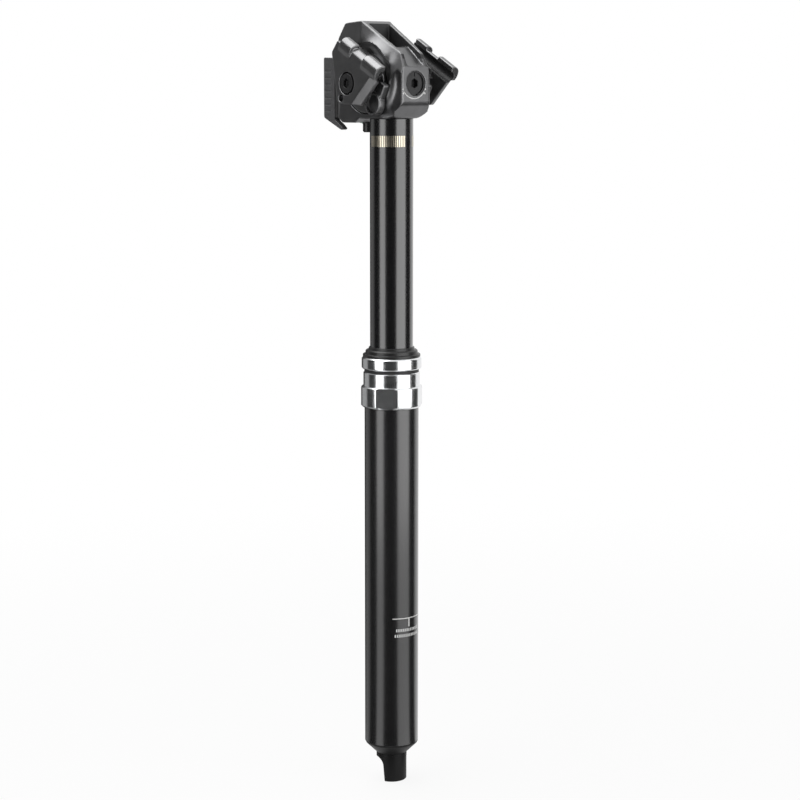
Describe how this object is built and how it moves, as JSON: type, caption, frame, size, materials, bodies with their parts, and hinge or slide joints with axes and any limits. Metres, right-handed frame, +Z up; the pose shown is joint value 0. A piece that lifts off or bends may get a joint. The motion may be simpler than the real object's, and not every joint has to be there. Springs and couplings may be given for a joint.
{
  "type": "dropper seatpost",
  "caption": "Electronic dropper seatpost with a gloss black upper tube, bare metal collar, forged saddle clamp head and rear battery",
  "frame": {"origin": "On the post's axis, at the shoulder where the lower tube leaves the collar", "axes": "+Z up along the post, +X to the front of the bicycle, +Y to its left"},
  "size_m": [0.0694, 0.0616, 0.4472],
  "materials": {
    "anodised_lower": "satin",
    "gloss_stanchion": "gloss",
    "forged_head": "satin",
    "forged_clamp": "satin",
    "bare_collar": "polished",
    "bare_alloy": "machined",
    "shaft_steel": "ground",
    "small_steel": "satin",
    "black_steel": "satin",
    "valve_brass": "machined",
    "seal_rubber": "matte",
    "foam": "open cell",
    "bushing_polymer": "matte",
    "black_plastic": "fine grain",
    "battery_plastic": "fine grain",
    "board_green": "solder mask",
    "lens_plastic": "clear"
  },
  "bodies": {
    "lower_post": {"outer_tube": "anodised_lower", "end_cap": "anodised_lower", "top_collar": "bare_collar", "wiper_seal": "seal_rubber", "foam_ring": "foam", "upper_bushing": "bushing_polymer", "inner_shaft": "shaft_steel", "shaft_piston": "bare_alloy", "piston_seal": "seal_rubber", "piston_nut": "small_steel", "air_valve": "valve_brass", "valve_cap": "black_plastic"},
    "valve_pin": {"valve_pin": "valve_brass"},
    "upper_post": {"stanchion": "gloss_stanchion", "lower_bushing": "bushing_polymer", "guide_keys": "valve_brass", "seal_head": "bare_alloy", "damper_sleeve": "bare_alloy", "damper_o_rings": "seal_rubber", "valve_body": "bare_alloy", "motor_gearbox": "small_steel", "valve_motor": "small_steel", "head": "forged_head", "control_board": "board_green", "battery_mount": "black_plastic", "battery_contacts": "valve_brass", "latch_pin": "small_steel", "button_switch": "black_plastic", "status_lens": "lens_plastic", "adjuster_clip": "black_steel"},
    "floating_piston": {"floating_piston": "bare_alloy", "floating_piston_seals": "seal_rubber"},
    "valve_screw": {"valve_screw": "small_steel"},
    "valve_plunger": {"valve_plunger": "small_steel"},
    "cradle": {"cradle_hub": "forged_head", "inner_clamp_right": "forged_clamp", "inner_clamp_left": "forged_clamp", "guide_pins": "small_steel", "outer_clamp_right": "forged_clamp", "bolt_washer": "small_steel"},
    "clamp_left": {"outer_clamp_left": "forged_clamp", "clamp_nut": "small_steel"},
    "clamp_bolt": {"clamp_bolt": "black_steel"},
    "tilt_adjuster": {"tilt_adjuster": "black_steel"},
    "battery": {"battery": "battery_plastic"},
    "battery_latch": {"battery_latch": "black_plastic"},
    "function_button": {"function_button": "seal_rubber"}
  },
  "joints": [
    {"name": "drop", "type": "slide", "parent": "lower_post", "child": "upper_post", "axis": [0, 0, -1], "range_m": [0, 0.125], "stiffness_N_per_m": 200, "springref_m": -0.5},
    {"name": "floating_piston_slide", "type": "slide", "parent": "upper_post", "child": "floating_piston", "axis": [0, 0, -1], "range_m": [0, 0.0525]},
    {"name": "valve_screw_turn", "type": "hinge", "parent": "upper_post", "child": "valve_screw", "pos_m": [0, 0, 0.155], "axis": [0, 0, 1], "range_deg": [0, 1081]},
    {"name": "valve_plunger_slide", "type": "slide", "parent": "upper_post", "child": "valve_plunger", "axis": [0, 0, -1], "range_m": [0, 0.0015]},
    {"name": "saddle_tilt", "type": "hinge", "parent": "upper_post", "child": "cradle", "pos_m": [-0.007, 0, 0.1863], "axis": [0, -1, 0], "range_deg": [-6, 6]},
    {"name": "tilt_screw_turn", "type": "hinge", "parent": "upper_post", "child": "tilt_adjuster", "pos_m": [0, 0, 0.1863], "axis": [1, 0, 0], "range_deg": [-45.1, 45.1]},
    {"name": "clamp_bolt_turn", "type": "hinge", "parent": "cradle", "child": "clamp_bolt", "pos_m": [-0.007, 0, 0.1863], "axis": [0, 1, 0], "range_deg": [0, 1801]},
    {"name": "clamp_left_slide", "type": "slide", "parent": "cradle", "child": "clamp_left", "axis": [0, -1, 0], "range_m": [0, 0.005]},
    {"name": "battery_slide", "type": "slide", "parent": "upper_post", "child": "battery", "axis": [-1, 0, 0], "range_m": [0, 0.025]},
    {"name": "battery_latch_lift", "type": "hinge", "parent": "upper_post", "child": "battery_latch", "pos_m": [-0.0353, 0, 0.204], "axis": [0, 1, 0], "range_deg": [0, 70.1]},
    {"name": "function_button_push", "type": "slide", "parent": "upper_post", "child": "function_button", "axis": [0, 0, 1], "range_m": [0, 0.0006], "stiffness_N_per_m": 2000, "springref_m": -0.0005},
    {"name": "valve_pin_push", "type": "slide", "parent": "lower_post", "child": "valve_pin", "axis": [0, 0, 1], "range_m": [0, 0.0012], "stiffness_N_per_m": 500, "springref_m": -0.002}
  ],
  "couplings": [
    {"joint": "floating_piston_slide", "follows": "drop", "ratio": 0.41918},
    {"joint": "valve_screw_turn", "follows": "valve_plunger_slide", "rad_per_m": 12566},
    {"joint": "tilt_screw_turn", "follows": "saddle_tilt", "ratio": 7.5},
    {"joint": "clamp_bolt_turn", "follows": "clamp_left_slide", "rad_per_m": 6283.2},
    {"joint": "battery_latch_lift", "follows": "battery_slide", "rad_per_m": 48.869}
  ]
}
